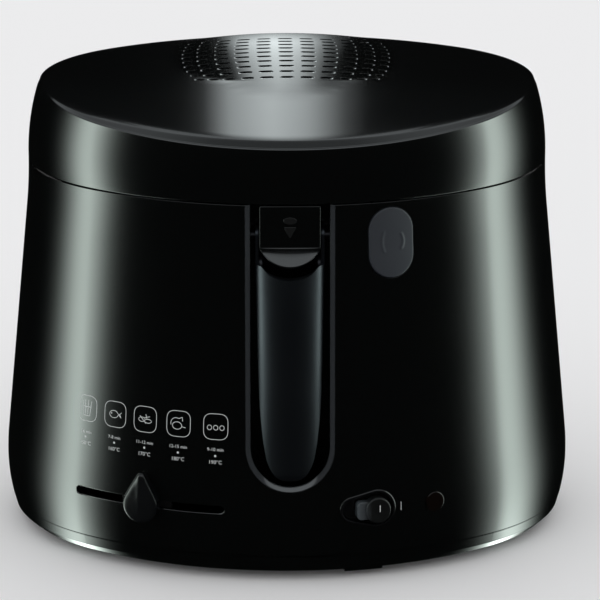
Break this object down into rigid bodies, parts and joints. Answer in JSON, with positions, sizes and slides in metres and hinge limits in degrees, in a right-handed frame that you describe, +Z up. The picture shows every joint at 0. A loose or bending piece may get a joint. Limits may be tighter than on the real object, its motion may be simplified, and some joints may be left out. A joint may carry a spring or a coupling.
{
  "type": "deep fryer",
  "caption": "Oval electric deep fryer with a hinged vented lid, a fold-down handle that raises the basket, a temperature slider and a switch.",
  "frame": {"origin": "centre of the footprint, on the surface the fryer stands on", "axes": "+Z up, -Y out of the front where the handle and the controls are, +X to the right seen from the front"},
  "size_m": [0.36, 0.29, 0.2928],
  "materials": {
    "shell_plastic": "glossy black moulded plastic with a soft sheen",
    "base_plastic": "black moulded plastic, satin",
    "handle_plastic": "satin blue-black plastic",
    "button_plastic": "matte blue-grey black plastic",
    "knob_plastic": "satin dark grey plastic",
    "bezel_plastic": "dark plastic with a bright edge",
    "carrier_plastic": "natural nylon",
    "switch_plastic": "moulded switch housing",
    "terminal_plastic": "cream moulded plastic",
    "filter_plastic": "black moulded plastic",
    "foot_rubber": "black rubber",
    "gland_rubber": "black rubber",
    "seal_rubber": "grey silicone rubber",
    "filter_carbon": "activated carbon felt",
    "lens_amber": "clear amber plastic",
    "bowl_enamel": "dark non-stick coating",
    "heater_aluminium": "cast, matt",
    "element_sheath": "heat-tinted steel sheath",
    "shield_steel": "aluminised sheet steel",
    "liner_steel": "brushed stainless sheet",
    "fuse_metal": "drawn can",
    "thermostat_ceramic": "white ceramic-filled body",
    "lever_steel": "zinc-plated pressed steel",
    "pin_steel": "bright drawn steel",
    "spring_steel": "spring steel wire",
    "fastener_steel": "zinc-plated",
    "basket_wire": "chrome-plated wire"
  },
  "bodies": {
    "base": {"housing": "shell_plastic", "handle_recess": "shell_plastic", "inner_deck": "shell_plastic", "hinge_ears": "shell_plastic", "inlet_panel": "shell_plastic", "base_cover": "base_plastic", "rubber_feet": "foot_rubber", "base_screws": "fastener_steel", "cord_gland": "gland_rubber", "terminal_block": "terminal_plastic", "bowl": "bowl_enamel", "heater_plate": "heater_aluminium", "heating_element": "element_sheath", "heat_shield": "shield_steel", "thermal_fuse": "fuse_metal", "thermostat_body": "thermostat_ceramic", "switch_bezel": "bezel_plastic", "switch_body": "switch_plastic", "indicator_lens": "lens_amber", "lid_hinge_pins": "pin_steel", "lid_hinge_spring": "spring_steel", "button_spring": "spring_steel", "handle_pivot_pins": "pin_steel", "slide_block": "shell_plastic", "release_spring": "spring_steel", "lift_guide_rods": "pin_steel", "rod_bracket": "lever_steel"},
    "lid": {"lid_cover": "shell_plastic", "lid_liner": "liner_steel", "lid_seal": "seal_rubber", "filter_holder": "filter_plastic", "filter_pad": "filter_carbon", "filter_grille": "liner_steel", "liner_screws": "fastener_steel", "lid_catch": "lever_steel"},
    "button": {"lid_button": "button_plastic", "latch_hook": "lever_steel"},
    "handle": {"handle": "handle_plastic"},
    "lift": {"lift_carriage": "lever_steel", "basket_frame": "basket_wire", "basket_mesh": "basket_wire", "basket_bracket": "lever_steel"},
    "link": {"lift_links": "lever_steel"},
    "release": {"release_slide": "shell_plastic"},
    "temperature": {"temperature_knob": "knob_plastic", "slider_carrier": "carrier_plastic"},
    "lever": {"thermostat_lever": "lever_steel"},
    "switch": {"switch_knob": "knob_plastic"}
  },
  "joints": [
    {"name": "lid_hinge", "type": "hinge", "parent": "base", "child": "lid", "pos_m": [0, 0.134, 0.24], "axis": [-1, 0, 0], "range_deg": [0, 85]},
    {"name": "handle_fold", "type": "hinge", "parent": "base", "child": "handle", "pos_m": [0, -0.1147, 0.214], "axis": [-1, 0, 0], "range_deg": [0, 90]},
    {"name": "basket_lift", "type": "slide", "parent": "base", "child": "lift", "axis": [0, 0, 1], "range_m": [0, 0.033]},
    {"name": "link_turn", "type": "hinge", "parent": "lift", "child": "link", "pos_m": [0, -0.099, 0.16996], "axis": [1, 0, 0], "range_deg": [0, 25]},
    {"name": "release_press", "type": "slide", "parent": "base", "child": "release", "axis": [0, 0, -1], "range_m": [0, 0.004], "stiffness_N_per_m": 250, "springref_m": -0.012, "deforming": ["release_spring"]},
    {"name": "lid_button_press", "type": "slide", "parent": "base", "child": "button", "axis": [-0.3057, 0.9521, 0], "range_m": [0, 0.004], "stiffness_N_per_m": 250, "springref_m": -0.012, "deforming": ["button_spring"]},
    {"name": "temperature_slide", "type": "hinge", "parent": "base", "child": "temperature", "pos_m": [0, 0.072, 0.047], "axis": [0, 0, 1], "range_deg": [-11.8, 11.8]},
    {"name": "thermostat_turn", "type": "hinge", "parent": "base", "child": "lever", "pos_m": [-0.04371, -0.02347, 0.0455], "axis": [0, 0, 1], "range_deg": [-24.5, 24.5]},
    {"name": "switch_slide", "type": "slide", "parent": "base", "child": "switch", "axis": [-0.9755, -0.2198, 0], "range_m": [0, 0.008]}
  ],
  "couplings": [
    {"joint": "basket_lift", "follows": "handle_fold", "m_per_rad": 0.021008},
    {"joint": "link_turn", "follows": "handle_fold", "ratio": 0.2767},
    {"joint": "thermostat_turn", "follows": "temperature_slide", "ratio": 2.03}
  ]
}
